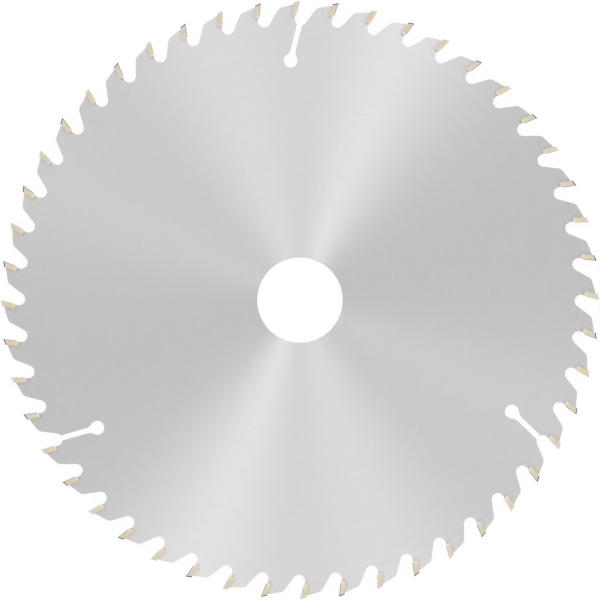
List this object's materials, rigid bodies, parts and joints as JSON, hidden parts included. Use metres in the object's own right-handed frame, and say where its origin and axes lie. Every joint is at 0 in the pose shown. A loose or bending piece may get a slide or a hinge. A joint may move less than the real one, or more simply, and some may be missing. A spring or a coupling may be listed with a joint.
{
  "type": "circular saw blade",
  "caption": "Carbide-tipped circular saw blade: a flat steel disc with a centre bore, brazed-on teeth bevelled left and right in turn, and keyhole expansion slots in its rim.",
  "frame": {"origin": "centre of the bore, halfway through the plate's thickness", "axes": "+Z along the bore's axis, out of the face from which the teeth are seen to point clockwise; +Y through the cutting point of a tooth that has an expansion slot in front of it"},
  "size_m": [0.21, 0.21, 0.0028],
  "materials": {
    "steel_plate": "ground bright in circles about the bore",
    "carbide_tip": "sintered carbide with a beige film of solder on its sides and a dark ground top and face",
    "silver_solder": "warm grey silver solder, slightly uneven"
  },
  "bodies": {
    "root": {"saw_plate": "steel_plate", "carbide_tip_01": "carbide_tip", "carbide_tip_02": "carbide_tip", "carbide_tip_03": "carbide_tip", "carbide_tip_04": "carbide_tip", "carbide_tip_05": "carbide_tip", "carbide_tip_06": "carbide_tip", "carbide_tip_07": "carbide_tip", "carbide_tip_08": "carbide_tip", "carbide_tip_09": "carbide_tip", "carbide_tip_10": "carbide_tip", "carbide_tip_11": "carbide_tip", "carbide_tip_12": "carbide_tip", "carbide_tip_13": "carbide_tip", "carbide_tip_14": "carbide_tip", "carbide_tip_15": "carbide_tip", "carbide_tip_16": "carbide_tip", "carbide_tip_17": "carbide_tip", "carbide_tip_18": "carbide_tip", "carbide_tip_19": "carbide_tip", "carbide_tip_20": "carbide_tip", "carbide_tip_21": "carbide_tip", "carbide_tip_22": "carbide_tip", "carbide_tip_23": "carbide_tip", "carbide_tip_24": "carbide_tip", "carbide_tip_25": "carbide_tip", "carbide_tip_26": "carbide_tip", "carbide_tip_27": "carbide_tip", "carbide_tip_28": "carbide_tip", "carbide_tip_29": "carbide_tip", "carbide_tip_30": "carbide_tip", "carbide_tip_31": "carbide_tip", "carbide_tip_32": "carbide_tip", "carbide_tip_33": "carbide_tip", "carbide_tip_34": "carbide_tip", "carbide_tip_35": "carbide_tip", "carbide_tip_36": "carbide_tip", "carbide_tip_37": "carbide_tip", "carbide_tip_38": "carbide_tip", "carbide_tip_39": "carbide_tip", "carbide_tip_40": "carbide_tip", "carbide_tip_41": "carbide_tip", "carbide_tip_42": "carbide_tip", "carbide_tip_43": "carbide_tip", "carbide_tip_44": "carbide_tip", "carbide_tip_45": "carbide_tip", "carbide_tip_46": "carbide_tip", "carbide_tip_47": "carbide_tip", "carbide_tip_48": "carbide_tip"}
  },
  "joints": []
}
